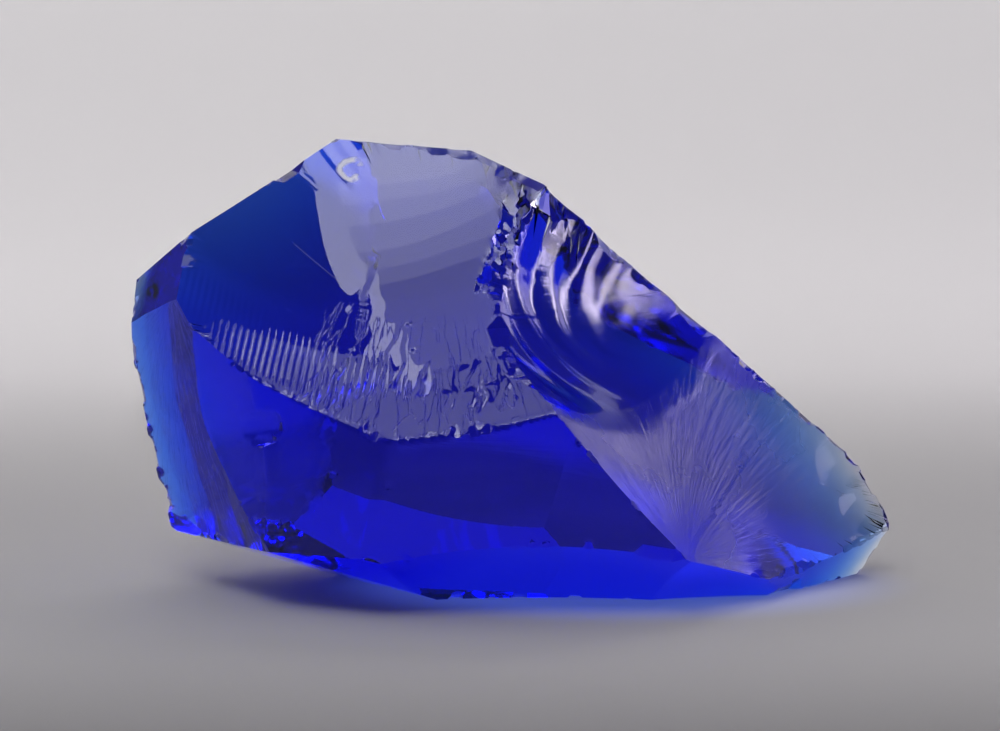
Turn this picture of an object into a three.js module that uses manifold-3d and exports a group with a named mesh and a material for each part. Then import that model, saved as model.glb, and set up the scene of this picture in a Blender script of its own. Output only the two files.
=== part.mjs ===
// A lump of cobalt-blue andara glass, one solid piece. It is made the way the real one was: a block of glass from
// which blows have split flakes, each leaving a shell-shaped (conchoidal) fracture face with ribs round its strike.
// Millimetres, +Z up. The origin is under the middle of the lump, on the surface that it rests on. The face with the
// great scar looks towards -Y, and the thin tip points towards +X.
import * as THREE from "three";
import { mergeVertices } from "three/addons/utils/BufferGeometryUtils.js";
import Module from "manifold-3d";

// Driving dimensions: the block that just holds the lump.
const LENGTH = 38.6; // left shoulder to right tip, along X
const DEPTH = 18.4; // ledge to back, along Y
const HEIGHT = 22.4; // resting face to the left peak, along Z

// Looks: deep cobalt-blue glass, freshly broken and glossy.
const COLOUR = 0x0d08aa;
const ROUGHNESS = 0.05;

// How far a cutter reaches sideways and outwards, so that it always passes right through the block.
const REACH = 1.4 * LENGTH;
// Ring spacing and slices of a cutter's face where the fracture has no ribs.
const PLAIN_RING = 0.075 * LENGTH;
const PLAIN_SLICES = 32;
// Rings to each rib, and slices round the strike, on a ribbed fracture.
const RINGS_PER_RIB = 4;
const RIBBED_SLICES = 48;
// A nick's ball has this many slices and bands.
const NICK_SLICES = 24;
const NICK_BANDS = 16;

const FLAT = Infinity;

// Corners of the lump, as shares of the length, depth and height.
const corner = (x, y, z) => new THREE.Vector3(x * LENGTH, y * DEPTH, z * HEIGHT);

const CORNERS = {
  // Outline, seen from the near side, clockwise from the left.
  shoulder: corner(-0.507, -0.011, 0.592),
  shoulder_top: corner(-0.47, 0.043, 0.729),
  left_peak: corner(-0.238, 0.179, 1.0),
  top_middle: corner(-0.1, 0.161, 0.982),
  top_right: corner(-0.054, 0.141, 0.972),
  right_peak: corner(0.041, 0.043, 0.901),
  rim_notch: corner(0.222, 0.109, 0.587),
  tip_top: corner(0.448, 0.152, 0.273),
  tip_end: corner(0.526, 0.1, 0.175),
  tip_low: corner(0.455, 0.125, -0.012),
  heel: corner(-0.454, 0.016, 0.121),
  // Ledge under the great scar, and the ridge to its right.
  ledge_top: corner(-0.431, -0.174, 0.686),
  ledge_left: corner(-0.36, -0.318, 0.539),
  ledge_middle: corner(-0.156, -0.503, 0.398),
  ledge_nose: corner(-0.06, -0.543, 0.392),
  ridge_low: corner(0.047, -0.475, 0.47),
  // Front, from the left ridge to the tip.
  left_ridge: corner(-0.391, -0.245, 0.385),
  front_ridge: corner(-0.322, -0.343, 0.409),
  foot_left: corner(-0.314, -0.348, 0.131),
  foot_middle: corner(-0.17, -0.457, 0.124),
  foot_right: corner(0.214, -0.446, 0.128),
  tip_foot: corner(0.317, -0.261, 0.058),
  // Edge of the flat resting face.
  rest_heel: corner(-0.216, 0.043, 0),
  rest_left: corner(-0.19, -0.147, 0),
  rest_front: corner(0.045, -0.185, 0),
  rest_right: corner(0.227, -0.185, 0),
  rest_tip: corner(0.149, 0.342, 0),
  rest_back: corner(-0.007, 0.33, 0),
  rest_back_left: corner(-0.242, 0.098, 0),
  // Back.
  side_top: corner(-0.46, 0.17, 0.74),
  side_back: corner(-0.465, 0.16, 0.4),
  side_low: corner(-0.44, 0.13, 0.12),
  rim_left: corner(-0.358, 0.478, 0.812),
  rim_top: corner(-0.104, 0.516, 0.925),
  rim_peak: corner(-0.001, 0.516, 0.895),
  rim_right: corner(0.242, 0.478, 0.51),
  back_left: corner(-0.19, 0.424, 0.536),
  back_high: corner(-0.216, 0.457, 0.67),
  back_middle: corner(0.071, 0.478, 0.625),
  back_right: corner(0.123, 0.451, 0.06),
  back_low: corner(-0.111, 0.424, 0.06),
  back_tip: corner(0.53, 0.29, 0.22),
  back_foot_left: corner(-0.268, 0.33, 0.134),
  back_foot: corner(0.097, 0.397, 0.045),
  scoop_high: corner(0.06, 0.3, 0.8),
  scoop_right: corner(0.33, 0.24, 0.42),
  scoop_low: corner(0.2, 0.39, 0.4),
  // Places where a blow landed, on or above the lump.
  strike_top: corner(-0.13, 0.28, 1.176),
  strike_rim: corner(0.184, 0.135, 0.635),
};

// Fractures. Each face goes through three corners, and it is a bowl: its radii, along the first two corners and across
// them, are shares of the length. A negative radius is a dome, and FLAT is flat. Ribs run round the strike: their pitch
// and height, and the distances where they start and end, are shares of the length.
const FRACTURES = [
  // Near side.
  { name: "great_scar", through: ["left_peak", "right_peak", "ledge_nose"], bowl: [0.94, 0.94], strike: "strike_top" },
  {
    name: "ribbed_scar",
    through: ["right_peak", "ridge_low", "rim_notch"],
    bowl: [0.224, 0.453],
    strike: "strike_rim",
    ribs: { pitch: 0.05, height: 0.003, start: 0.07, end: 0.26 },
  },
  { name: "sloping_scar", through: ["ridge_low", "foot_right", "tip_top"], bowl: [1.8, 0.57] },
  { name: "front_left", through: ["ledge_left", "ledge_middle", "foot_left"], bowl: [3.1, 3.1] },
  { name: "front_right", through: ["ledge_middle", "foot_right", "foot_middle"], bowl: [3.9, 3.9] },
  { name: "left_inner", through: ["left_ridge", "front_ridge", "foot_left"], bowl: [1.56, 1.56] },
  { name: "left_outer", through: ["shoulder", "heel", "left_ridge"], bowl: [-1.2, 1.04] },
  { name: "shoulder_flake", through: ["shoulder", "shoulder_top", "ledge_top"], bowl: [FLAT, FLAT] },
  { name: "tip_under", through: ["tip_foot", "tip_end", "tip_low"], bowl: [FLAT, FLAT] },
  // Undercuts between the front and the resting face.
  { name: "undercut_front", through: ["foot_middle", "foot_right", "rest_front"], bowl: [1.04, 1.04] },
  { name: "undercut_left", through: ["foot_left", "foot_middle", "rest_left"], bowl: [FLAT, FLAT] },
  { name: "undercut_heel", through: ["heel", "foot_left", "rest_heel"], bowl: [FLAT, FLAT] },
  { name: "undercut_right", through: ["foot_right", "tip_foot", "rest_right"], bowl: [1.04, 1.04] },
  // Upper rims.
  { name: "rim_face_left", through: ["shoulder_top", "left_peak", "rim_left"], bowl: [FLAT, FLAT] },
  { name: "rim_face_top", through: ["left_peak", "top_middle", "rim_top"], bowl: [FLAT, FLAT] },
  { name: "rim_face_peak", through: ["top_right", "right_peak", "rim_peak"], bowl: [FLAT, FLAT] },
  { name: "rim_face_right", through: ["right_peak", "tip_top", "rim_right"], bowl: [FLAT, FLAT] },
  // Left side and back.
  { name: "left_side", through: ["shoulder", "heel", "side_back"], bowl: [FLAT, FLAT] },
  {
    name: "back_scar_left",
    through: ["side_top", "side_low", "back_left"],
    bowl: [1.56, 1.2],
    strike: "rim_left",
    ribs: { pitch: 0.08, height: 0.002, start: 0.12, end: 0.6 },
  },
  { name: "back_scar_middle", through: ["back_high", "back_middle", "back_low"], bowl: [1.04, 1.04] },
  {
    name: "back_scar_right",
    through: ["back_middle", "back_right", "back_tip"],
    bowl: [1.56, 1.56],
    strike: "back_right",
    ribs: { pitch: 0.09, height: 0.0022, start: 0.06, end: 0.5 },
  },
  { name: "back_scoop", through: ["scoop_high", "scoop_right", "scoop_low"], bowl: [0.6, 0.5] },
  { name: "back_tip_flake", through: ["tip_low", "tip_end", "rest_tip"], bowl: [FLAT, FLAT] },
  { name: "back_undercut", through: ["back_foot_left", "back_foot", "rest_back"], bowl: [FLAT, FLAT] },
  { name: "back_heel", through: ["heel", "back_foot_left", "rest_back_left"], bowl: [FLAT, FLAT] },
];

// Nicks: small flakes knocked off the edges. Each is a dish in one of the faces, close to its edge: a ball that goes in
// square to that face. Radius and depth are shares of the length.
const NICKS = [
  // Top rim: a notch, then two flakes towards the right peak.
  { on: "great_scar", at: corner(-0.067, 0.134, 0.958), radius: 0.06, depth: 0.013 },
  { on: "great_scar", at: corner(-0.021, 0.104, 0.94), radius: 0.11, depth: 0.01 },
  { on: "great_scar", at: corner(0.02, 0.055, 0.898), radius: 0.08, depth: 0.01 },
  // Crushed glass on the ridge between the great scar and the ribbed scar.
  { on: "great_scar", at: corner(0.018, 0.01, 0.845), radius: 0.07, depth: 0.007 },
  { on: "great_scar", at: corner(0.004, -0.025, 0.795), radius: 0.06, depth: 0.008 },
  { on: "great_scar", at: corner(-0.014, -0.075, 0.735), radius: 0.05, depth: 0.006 },
  { on: "great_scar", at: corner(-0.02, -0.115, 0.688), radius: 0.06, depth: 0.005 },
  // Right edge, from the peak down to the tip.
  { on: "ribbed_scar", at: corner(0.108, 0.105, 0.745), radius: 0.08, depth: 0.007 },
  { on: "ribbed_scar", at: corner(0.162, 0.12, 0.664), radius: 0.06, depth: 0.007 },
  { on: "ribbed_scar", at: corner(0.219, 0.112, 0.588), radius: 0.07, depth: 0.009 },
  { on: "sloping_scar", at: corner(0.338, 0.125, 0.418), radius: 0.09, depth: 0.005 },
  { on: "sloping_scar", at: corner(0.43, 0.142, 0.288), radius: 0.11, depth: 0.009 },
  { on: "sloping_scar", at: corner(0.475, 0.142, 0.215), radius: 0.07, depth: 0.01 },
  { on: "sloping_scar", at: corner(0.45, 0.06, 0.15), radius: 0.12, depth: 0.007 },
  { on: "tip_under", at: corner(0.345, -0.14, 0.005), radius: 0.07, depth: 0.012 },
  // Left edge, from the shoulder down to the heel.
  { on: "left_outer", at: corner(-0.487, -0.03, 0.46), radius: 0.12, depth: 0.005 },
  { on: "left_outer", at: corner(-0.47, -0.03, 0.312), radius: 0.12, depth: 0.005 },
  { on: "left_outer", at: corner(-0.45, -0.02, 0.196), radius: 0.12, depth: 0.005 },
  { on: "left_outer", at: corner(-0.395, -0.15, 0.19), radius: 0.13, depth: 0.008 },
  // Ledge under the great scar.
  { on: "great_scar", at: corner(-0.353, -0.315, 0.541), radius: 0.07, depth: 0.006 },
  { on: "great_scar", at: corner(-0.27, -0.375, 0.478), radius: 0.08, depth: 0.003 },
  { on: "great_scar", at: corner(-0.207, -0.428, 0.438), radius: 0.06, depth: 0.004 },
  { on: "great_scar", at: corner(-0.174, -0.463, 0.417), radius: 0.045, depth: 0.004 },
  { on: "great_scar", at: corner(-0.135, -0.492, 0.4), radius: 0.06, depth: 0.004 },
  { on: "great_scar", at: corner(-0.09, -0.492, 0.4), radius: 0.05, depth: 0.004 },
  { on: "great_scar", at: corner(-0.048, -0.49, 0.402), radius: 0.07, depth: 0.005 },
  { on: "great_scar", at: corner(-0.01, -0.492, 0.431), radius: 0.05, depth: 0.004 },
  // A star chip on the front ridge, and an open bubble under the left peak.
  { on: "left_inner", at: corner(-0.318, -0.349, 0.41), radius: 0.03, depth: 0.004 },
  { on: "great_scar", at: corner(-0.217, 0.133, 0.932), radius: 0.015, depth: 0.006 },
];

const wasm = await Module();
wasm.setup();

// A closed three.js geometry as a manifold-3d solid. Triangles that shrink to a line at a pole are dropped.
function solidOf(geometry) {
  const bare = geometry.clone();
  bare.deleteAttribute("normal");
  bare.deleteAttribute("uv");
  const merged = mergeVertices(bare);
  const corners = merged.index.array;
  const triVerts = [];
  for (let i = 0; i < corners.length; i += 3) {
    const [a, b, c] = corners.subarray(i, i + 3);
    if (a !== b && b !== c && c !== a) triVerts.push(a, b, c);
  }
  const mesh = new wasm.Mesh({
    numProp: 3,
    vertProperties: merged.attributes.position.array,
    triVerts: new Uint32Array(triVerts),
  });
  return new wasm.Manifold(mesh);
}

// A manifold-3d solid as a three.js geometry.
function geometryOf(solid) {
  const mesh = solid.getMesh();
  const geometry = new THREE.BufferGeometry();
  geometry.setAttribute("position", new THREE.BufferAttribute(mesh.vertProperties, 3));
  geometry.setIndex(new THREE.BufferAttribute(mesh.triVerts, 1));
  return geometry;
}

// The middle of the block, which is inside the lump.
const HEART = corner(0, 0, 0.4);

// A fracture's own axes: u along its first two corners, v across them, n out of the glass.
function axesOf(fracture) {
  const [a, b, c] = fracture.through.map((name) => CORNERS[name]);
  const u = b.clone().sub(a).normalize();
  const n = u.clone().cross(c.clone().sub(a)).normalize();
  if (n.dot(a.clone().sub(HEART)) < 0) n.negate();
  const v = n.clone().cross(u);
  const plan = (point) => {
    const from = point.clone().sub(a);
    return new THREE.Vector2(from.dot(u), from.dot(v));
  };
  return { a, u, v, n, plan, b: plan(b), c: plan(c) };
}

// The bowl's height over the plane of the three corners: a paraboloid that is zero at all three.
function bowlOf(fracture, axes) {
  const bendU = 1 / (fracture.bowl[0] * LENGTH);
  const bendV = 1 / (fracture.bowl[1] * LENGTH);
  const slopeU = (-bendU * axes.b.x) / 2;
  const { x, y } = axes.c;
  const slopeV = -((bendU * x * x) / 2 + (bendV * y * y) / 2 + slopeU * x) / y;
  return (p) => (bendU * p.x * p.x) / 2 + (bendV * p.y * p.y) / 2 + slopeU * p.x + slopeV * p.y;
}

// Ribs: waves that run round the strike, swelling and dying away between two distances from it.
function ribHeight(ribs, distance) {
  const share = (distance / LENGTH - ribs.start) / (ribs.end - ribs.start);
  if (share <= 0 || share >= 1) return 0;
  const swell = Math.sin(Math.PI * share);
  return ribs.height * LENGTH * swell * Math.cos((2 * Math.PI * distance) / (ribs.pitch * LENGTH));
}

// The distances from the strike where a cutter's face has a ring of vertices.
function ringsOf(ribs) {
  const rings = [];
  let distance = 0;
  while (distance < REACH) {
    rings.push(distance);
    const ribbed = ribs && distance > (ribs.start - ribs.pitch) * LENGTH && distance < ribs.end * LENGTH;
    distance += ribbed ? (ribs.pitch * LENGTH) / RINGS_PER_RIB : PLAIN_RING;
  }
  rings.push(REACH);
  return rings;
}

// The glass that one blow splits off: a round plug, turned about the strike, whose under face is the fracture.
function flake(fracture) {
  const axes = axesOf(fracture);
  const bowl = bowlOf(fracture, axes);
  const strike = axes.plan(CORNERS[fracture.strike ?? fracture.through[0]]);
  const face = ringsOf(fracture.ribs).map(
    (distance) => new THREE.Vector2(distance, fracture.ribs ? ribHeight(fracture.ribs, distance) : 0),
  );
  const profile = [...face, new THREE.Vector2(REACH, REACH), new THREE.Vector2(0, REACH)];
  const plug = new THREE.LatheGeometry(profile, fracture.ribs ? RIBBED_SLICES : PLAIN_SLICES);
  const points = plug.attributes.position;
  for (let i = 0; i < points.count; i++) {
    const p = new THREE.Vector2(points.getX(i) + strike.x, strike.y - points.getZ(i));
    points.setXYZ(i, p.x, points.getY(i) + bowl(p), -p.y);
  }
  const stand = new THREE.Matrix4().makeBasis(axes.u, axes.n, axes.v.clone().negate());
  plug.applyMatrix4(stand.setPosition(axes.a));
  return solidOf(plug);
}

// The glass that one nick takes: a ball pushed into its face.
function chip(nick) {
  const { n } = axesOf(FRACTURES.find((fracture) => fracture.name === nick.on));
  const centre = nick.at.clone().addScaledVector(n, (nick.radius - nick.depth) * LENGTH);
  const ball = new THREE.SphereGeometry(nick.radius * LENGTH, NICK_SLICES, NICK_BANDS);
  return solidOf(ball.translate(centre.x, centre.y, centre.z));
}

// The block of glass, standing on its resting face.
function block() {
  const geometry = new THREE.BoxGeometry(LENGTH, DEPTH, HEIGHT);
  return solidOf(geometry.translate(0, 0, HEIGHT / 2));
}

let lump = block();
for (const fracture of FRACTURES) lump = lump.subtract(flake(fracture));
for (const nick of NICKS) lump = lump.subtract(chip(nick));

const glass = new THREE.Mesh(
  geometryOf(lump),
  new THREE.MeshStandardMaterial({ color: COLOUR, roughness: ROUGHNESS, metalness: 0, flatShading: true }),
);
glass.name = "glass";

const andara = new THREE.Group();
andara.add(glass);

export default andara;
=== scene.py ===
# %% [markdown]
# # A lump of cobalt-blue glass
# The real lump is broken andara glass. Blows split flakes off a block, and each flake left a shell-shaped face. This
# lesson rebuilds the lump as one closed surface worked out with numpy, gives it a clear blue glass that darkens with
# thickness, and lights it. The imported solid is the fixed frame, so it is loaded and measured first.

# %% The fixed frame
import math
from functools import partialmethod

import bpy
import numpy as np
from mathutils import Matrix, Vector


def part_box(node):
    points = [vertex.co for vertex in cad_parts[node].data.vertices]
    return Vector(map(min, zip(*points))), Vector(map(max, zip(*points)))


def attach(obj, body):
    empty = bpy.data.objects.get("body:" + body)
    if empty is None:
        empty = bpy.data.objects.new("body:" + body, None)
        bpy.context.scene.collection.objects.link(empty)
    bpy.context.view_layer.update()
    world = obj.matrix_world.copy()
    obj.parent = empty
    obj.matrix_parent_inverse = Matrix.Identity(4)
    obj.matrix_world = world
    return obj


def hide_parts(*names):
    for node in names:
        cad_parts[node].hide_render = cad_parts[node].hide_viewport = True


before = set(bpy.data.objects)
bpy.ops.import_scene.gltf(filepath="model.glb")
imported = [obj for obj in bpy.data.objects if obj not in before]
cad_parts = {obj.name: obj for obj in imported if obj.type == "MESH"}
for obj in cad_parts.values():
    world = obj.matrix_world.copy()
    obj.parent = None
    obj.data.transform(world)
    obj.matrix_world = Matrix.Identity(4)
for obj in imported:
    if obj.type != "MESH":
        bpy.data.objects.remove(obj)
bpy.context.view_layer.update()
MM = 0.001
low, high = (np.array(point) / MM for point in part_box("glass"))
SIZE = high - low
LENGTH = SIZE[0]
print("lump in millimetres:", SIZE.round(2))

# %% [markdown]
# ## Corners
# The lump's faces meet in corners: the peaks, the shoulder, the tip, the ledge and so on. They could be picked off the
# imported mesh, but named shares of the size, as in the part's own source, keep the looks in the shape of the solid.


# %% Corners
def corner(x, y, z):
    """A point in millimetres, from shares of the lump's length, depth and height."""
    return np.array([x, y, z]) * SIZE


SHARES = {
    # Outline, seen from the near side, clockwise from the left.
    "shoulder": (-0.507, -0.011, 0.592),
    "shoulder_top": (-0.47, 0.043, 0.729),
    "left_peak": (-0.238, 0.179, 1.0),
    "top_middle": (-0.1, 0.161, 0.982),
    "top_right": (-0.054, 0.141, 0.972),
    "right_peak": (0.041, 0.043, 0.901),
    "rim_notch": (0.222, 0.109, 0.587),
    "tip_top": (0.448, 0.152, 0.273),
    "tip_end": (0.526, 0.1, 0.175),
    "tip_low": (0.455, 0.125, -0.012),
    "heel": (-0.454, 0.016, 0.121),
    # Ledge under the great scar, and the ridge to its right.
    "ledge_top": (-0.431, -0.174, 0.686),
    "ledge_left": (-0.36, -0.318, 0.539),
    "ledge_middle": (-0.156, -0.503, 0.398),
    "ledge_nose": (-0.06, -0.543, 0.392),
    "ridge_low": (0.047, -0.475, 0.47),
    # Front, from the left ridge to the tip.
    "left_ridge": (-0.391, -0.245, 0.385),
    "front_ridge": (-0.322, -0.343, 0.409),
    "foot_left": (-0.314, -0.348, 0.131),
    "foot_middle": (-0.17, -0.457, 0.124),
    "foot_right": (0.214, -0.446, 0.128),
    "tip_foot": (0.317, -0.261, 0.058),
    # Edge of the flat resting face.
    "rest_heel": (-0.216, 0.043, 0),
    "rest_left": (-0.19, -0.147, 0),
    "rest_front": (0.045, -0.185, 0),
    "rest_right": (0.227, -0.185, 0),
    "rest_tip": (0.149, 0.342, 0),
    "rest_back": (-0.007, 0.33, 0),
    "rest_back_left": (-0.242, 0.098, 0),
    # Back.
    "side_top": (-0.46, 0.17, 0.74),
    "side_back": (-0.465, 0.16, 0.4),
    "side_low": (-0.44, 0.13, 0.12),
    "rim_left": (-0.358, 0.478, 0.812),
    "rim_top": (-0.104, 0.516, 0.925),
    "rim_peak": (-0.001, 0.516, 0.895),
    "rim_right": (0.242, 0.478, 0.51),
    "back_left": (-0.19, 0.424, 0.536),
    "back_high": (-0.216, 0.457, 0.67),
    "back_middle": (0.071, 0.478, 0.625),
    "back_low": (-0.111, 0.424, 0.06),
    "back_foot_left": (-0.268, 0.33, 0.134),
    "back_foot": (0.097, 0.397, 0.045),
    "scoop_high": (0.06, 0.3, 0.8),
    "scoop_right": (0.33, 0.24, 0.42),
    "scoop_low": (0.2, 0.39, 0.4),
    # Places where a blow landed, on or above the lump.
    "strike_top": (-0.13, 0.28, 1.176),
    "strike_rim": (0.184, 0.135, 0.635),
    # Corners of the block that the flakes were struck from.
    "block_left": (-0.5, -0.5, 0),
    "block_right": (0.5, -0.5, 0),
    "block_back_left": (-0.5, 0.5, 0),
    "block_back_right": (0.5, 0.5, 0),
    "block_top_left": (-0.5, -0.5, 1),
    "block_top_right": (0.5, -0.5, 1),
    "block_top_back": (-0.5, 0.5, 1),
}
CORNERS = {name: corner(*shares) for name, shares in SHARES.items()}
HEART = corner(0, 0, 0.4)

# %% [markdown]
# ## Fracture faces
# A crack runs through glass as a smooth bowl, so each face is a paraboloid through three corners, with one radius along
# the first two and one across them. A negative radius is a dome. A sculpted mesh could follow the photo as well, but a
# formula gives exact slopes, and glass shows every slope in its reflections.


# %% One face
FLAT = math.inf
FAR = 2 * LENGTH
NEWTON_STEPS = 4
NEWTON_LIMIT = 0.5
LEAST_SPEED = 0.1
SLOPE_STEP = 0.01
TINY = 1e-6


class Face:
    """A fracture face. Its x runs along its first two corners, y across them, and z out of the glass."""

    def __init__(self, name, through, bowl=(FLAT, FLAT), strike=None):
        corners = through.split()
        a, b, c = (CORNERS[key] for key in corners)
        self.name = name
        self.relief = None
        self.a = a
        self.u = (b - a) / np.linalg.norm(b - a)
        n = np.cross(self.u, c - a)
        n *= np.sign(n @ (a - HEART)) / np.linalg.norm(n)
        self.n = n
        self.v = np.cross(n, self.u)
        self.bend_x, self.bend_y = (1 / (radius * LENGTH) for radius in bowl)
        bx = (b - a) @ self.u
        cx, cy = (c - a) @ self.u, (c - a) @ self.v
        self.tilt_x = -self.bend_x * bx / 2
        self.tilt_y = -(self.bend_x * cx**2 / 2 + self.bend_y * cy**2 / 2 + self.tilt_x * cx) / cy
        self.strike = self.plan(CORNERS[strike or corners[0]])[:2]

    def plan(self, points):
        """x, y and z of points along the face's own axes, from its first corner."""
        return tuple((points - self.a) @ axis for axis in (self.u, self.v, self.n))

    def bowl(self, x, y):
        """Height of the paraboloid: half the bend times the square, plus a tilt, each way."""
        return self.bend_x / 2 * x**2 + self.bend_y / 2 * y**2 + self.tilt_x * x + self.tilt_y * y

    def around(self, x, y):
        """Distance from the strike, and the angle round it, which is 0 towards -y."""
        dx, dy = x - self.strike[0], y - self.strike[1]
        return np.hypot(dx, dy), np.arctan2(dx, -dy)

    def height(self, x, y):
        """Height of the finished face: the bowl and the relief on it."""
        return self.bowl(x, y) + (self.relief(self, x, y) if self.relief else 0.0)

    def point(self, x, y):
        """The point of the finished face above x, y."""
        return self.a + x * self.u + y * self.v + self.height(x, y) * self.n

    def reach(self, rays):
        """How far each ray from the heart runs before it meets the face.
        On the bowl that is the first root of a quadratic. Newton steps then carry it onto the relief."""
        dx, dy, dz = rays @ self.u, rays @ self.v, rays @ self.n
        x, y, z = self.plan(HEART)
        square = -(self.bend_x * dx**2 + self.bend_y * dy**2) / 2
        slope = dz - (self.bend_x * x + self.tilt_x) * dx - (self.bend_y * y + self.tilt_y) * dy
        start = z - self.bowl(x, y)
        under = slope**2 - 4 * square * start
        bottom = slope + np.sqrt(np.maximum(under, 0))
        meets = (under >= 0) & (bottom > TINY)
        far = np.where(meets, -2 * start / np.where(meets, bottom, 1), FAR)
        if self.relief is None:
            return far
        near = np.flatnonzero(far < FAR)
        run, speed = far[near], (2 * square * far + slope)[near]
        for _ in range(NEWTON_STEPS):
            px, py, pz = x + run * dx[near], y + run * dy[near], z + run * dz[near]
            step = (pz - self.height(px, py)) / np.maximum(speed, LEAST_SPEED)
            run = run - np.clip(step, -NEWTON_LIMIT, NEWTON_LIMIT)
        far[near] = run
        return far

    def outward(self, points):
        """The direction out of the glass at points on the face: n less the slopes of the height."""
        x, y, _ = self.plan(points)
        slope_x = (self.height(x + SLOPE_STEP, y) - self.height(x - SLOPE_STEP, y)) / (2 * SLOPE_STEP)
        slope_y = (self.height(x, y + SLOPE_STEP) - self.height(x, y - SLOPE_STEP)) / (2 * SLOPE_STEP)
        out = self.n - slope_x[:, None] * self.u - slope_y[:, None] * self.v
        return out / np.linalg.norm(out, axis=1, keepdims=True)


# %% All faces
FACE_ROWS = [
    # Name, the three corners, the two radii as shares of the length, and the strike.
    ("great_scar", "left_peak right_peak ledge_nose", (0.94, 0.94), "strike_top"),
    ("ribbed_scar", "right_peak ridge_low rim_notch", (0.224, 0.453), "strike_rim"),
    ("sloping_scar", "ridge_low foot_right tip_top", (1.8, 0.57), "foot_right"),
    ("front_left", "ledge_left ledge_middle foot_left", (3.1, 3.1)),
    ("front_right", "ledge_middle foot_right foot_middle", (3.9, 3.9)),
    ("left_inner", "left_ridge front_ridge foot_left", (1.56, 1.56), "ledge_top"),
    ("left_outer", "shoulder heel left_ridge", (-1.2, 1.04), "ledge_top"),
    ("shoulder_flake", "shoulder shoulder_top ledge_top"),
    ("tip_under", "tip_foot tip_end tip_low"),
    ("undercut_front", "foot_middle foot_right rest_front", (1.04, 1.04)),
    ("undercut_left", "foot_left foot_middle rest_left"),
    ("undercut_heel", "heel foot_left rest_heel"),
    ("undercut_right", "foot_right tip_foot rest_right", (1.04, 1.04)),
    ("rim_face_left", "shoulder_top left_peak rim_left"),
    ("rim_face_top", "left_peak top_middle rim_top"),
    ("rim_face_peak", "top_right right_peak rim_peak"),
    ("rim_face_right", "right_peak tip_top rim_right"),
    ("left_side", "shoulder heel side_back"),
    ("back_scar_left", "side_top side_low back_left", (1.56, 1.2), "rim_left"),
    ("back_scar_middle", "back_high back_middle back_low", (1.04, 1.04)),
    ("back_scoop", "scoop_high scoop_right scoop_low", (0.6, 0.5), "rim_right"),
    ("back_tip_flake", "tip_low tip_end rest_tip"),
    ("back_undercut", "back_foot_left back_foot rest_back"),
    ("back_heel", "heel back_foot_left rest_back_left"),
    ("rest", "block_left block_right block_back_left"),
    ("block_left_face", "block_left block_back_left block_top_left"),
    ("block_right_face", "block_right block_back_right block_top_right"),
    ("block_back_face", "block_back_left block_back_right block_top_back"),
]
FACES = [Face(*row) for row in FACE_ROWS]
FACE = {face.name: face for face in FACES}
NUMBER = {face.name: number for number, face in enumerate(FACES)}
print("fracture faces:", len(FACES))

# %% [markdown]
# ## Ribs and hackles
# The crack left ribs round the strike, and hackles: small steps that point away from it. They are heights added to a
# bowl, in millimetres, so they bend the light. A bump map would leave the edges straight where a rib runs out. Only the
# ripples, which are finer than the grid, come later, in the finish.


# %% Waves on a face
STEP_EDGE = 0.045
FAN_WIDTH = 0.4
WAVES = 5
PITCH_RANGE = (0.7, 1.4)


def rib_waves(distance, pitch, height, start, end):
    """Ribs: a cosine of the distance from the strike that swells and dies away between start and end."""
    share = np.clip((distance - start) / (end - start), 0, 1)
    return height * np.sin(np.pi * share) * np.cos(2 * np.pi * distance / pitch)


def hackle(sideways, along, height, width):
    """A step across the line where sideways is 0, which fades to both sides and grows along the line."""
    return height * along * np.tanh(sideways / STEP_EDGE) * np.exp(-np.abs(sideways) / width)


def wandering(value, waves, first, second):
    """A value that sways: each wave has a size, and its radians for one unit of two other values."""
    for size, by_first, by_second in waves:
        value = value + size * np.sin(by_first * first + by_second * second)
    return value


def hackle_fan(total, distance, angle, degrees, sway, rate, start, growth, height):
    """A height with a fan of hackles added, at some angles from the strike. They sway, and grow from a start on."""
    for number, towards in enumerate(degrees):
        sideways = (angle - math.radians(towards)) * distance + sway * np.sin(rate * distance + number)
        total = total + hackle(sideways, np.clip((distance - start) / growth, 0, 1), height, FAN_WIDTH)
    return total


def unevenness(x, y, seed, pitch, height):
    """Slow unevenness: a few sine waves that run in different directions."""
    chance = np.random.default_rng(seed)
    turns = chance.uniform(0, 2 * np.pi, WAVES)
    pitches = pitch * chance.uniform(*PITCH_RANGE, WAVES)
    shifts = chance.uniform(0, 2 * np.pi, WAVES)
    total = 0
    for turn, length, shift in zip(turns, pitches, shifts):
        total = total + np.sin(2 * np.pi * (x * np.cos(turn) + y * np.sin(turn)) / length + shift)
    return height * total / math.sqrt(WAVES)


# %% Great scar
GREAT = FACE["great_scar"]
# The hackles that stand out: angle from the strike in degrees, lean in degrees for each millimetre, the distance
# where it starts, and its height in millimetres.
BOLD_HACKLES = [
    (6.6, 0.0, 10.8, 0.03),
    (14.7, -0.5, 13.6, 0.02),
    (15.4, -0.25, 15.0, 0.02),
    (20.7, -1.1, 16.4, 0.03),
    (20.4, -0.45, 17.4, 0.025),
    (26.7, -1.1, 17.4, 0.025),
    (31.5, -1.35, 16.4, 0.045),
    (31.4, -0.3, 17.0, 0.03),
    (32.4, -0.35, 17.6, 0.03),
]
FINE_HACKLES = 30
HACKLE_GROWTH, HACKLE_WIDTH = 3.5, 0.2
HACKLE_SWAY = [(0.14, 1.1, 2.1), (0.06, 3.4, 1.0)]
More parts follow.
